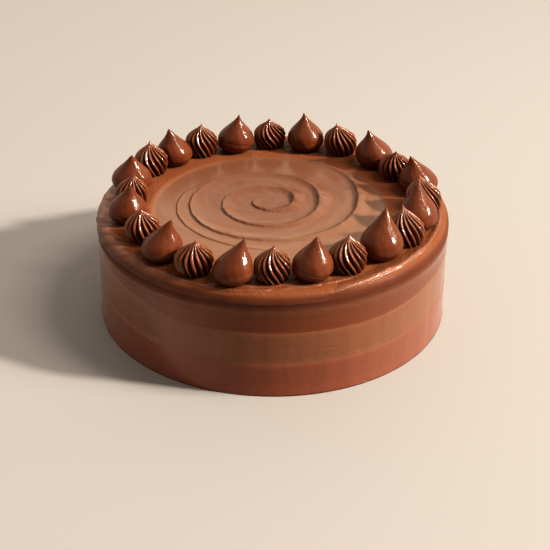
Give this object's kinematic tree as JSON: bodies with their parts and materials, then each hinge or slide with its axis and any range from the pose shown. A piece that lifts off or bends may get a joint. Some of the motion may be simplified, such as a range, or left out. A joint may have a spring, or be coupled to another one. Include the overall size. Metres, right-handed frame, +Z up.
{
  "type": "chocolate cake",
  "caption": "Round frosted chocolate cake with a spiral smoothed into its top and a ring of piped chocolate peaks on its rim, plain and starred by turns.",
  "frame": {"origin": "centre of the cake's flat underside, at the bottom centre of its box", "axes": "+Z up, from the underside to the tips of the piped peaks; -Y towards the side that the picture shows"},
  "size_m": [0.2, 0.2, 0.0873],
  "materials": {
    "frosting": "satin chocolate frosting, smoothed with a spatula",
    "piped_plain": "smooth glossy piped chocolate",
    "piped_starred": "soft-gloss piped chocolate frosting with twisted ridges"
  },
  "bodies": {
    "root": {"cake": "frosting", "drop_01": "piped_plain", "drop_02": "piped_plain", "drop_03": "piped_plain", "drop_04": "piped_plain", "drop_05": "piped_plain", "drop_06": "piped_plain", "drop_07": "piped_plain", "drop_08": "piped_plain", "drop_09": "piped_plain", "drop_10": "piped_plain", "drop_11": "piped_plain", "drop_12": "piped_plain", "star_01": "piped_starred", "star_02": "piped_starred", "star_03": "piped_starred", "star_04": "piped_starred", "star_05": "piped_starred", "star_06": "piped_starred", "star_07": "piped_starred", "star_08": "piped_starred", "star_09": "piped_starred", "star_10": "piped_starred", "star_11": "piped_starred", "star_12": "piped_starred"}
  },
  "joints": []
}
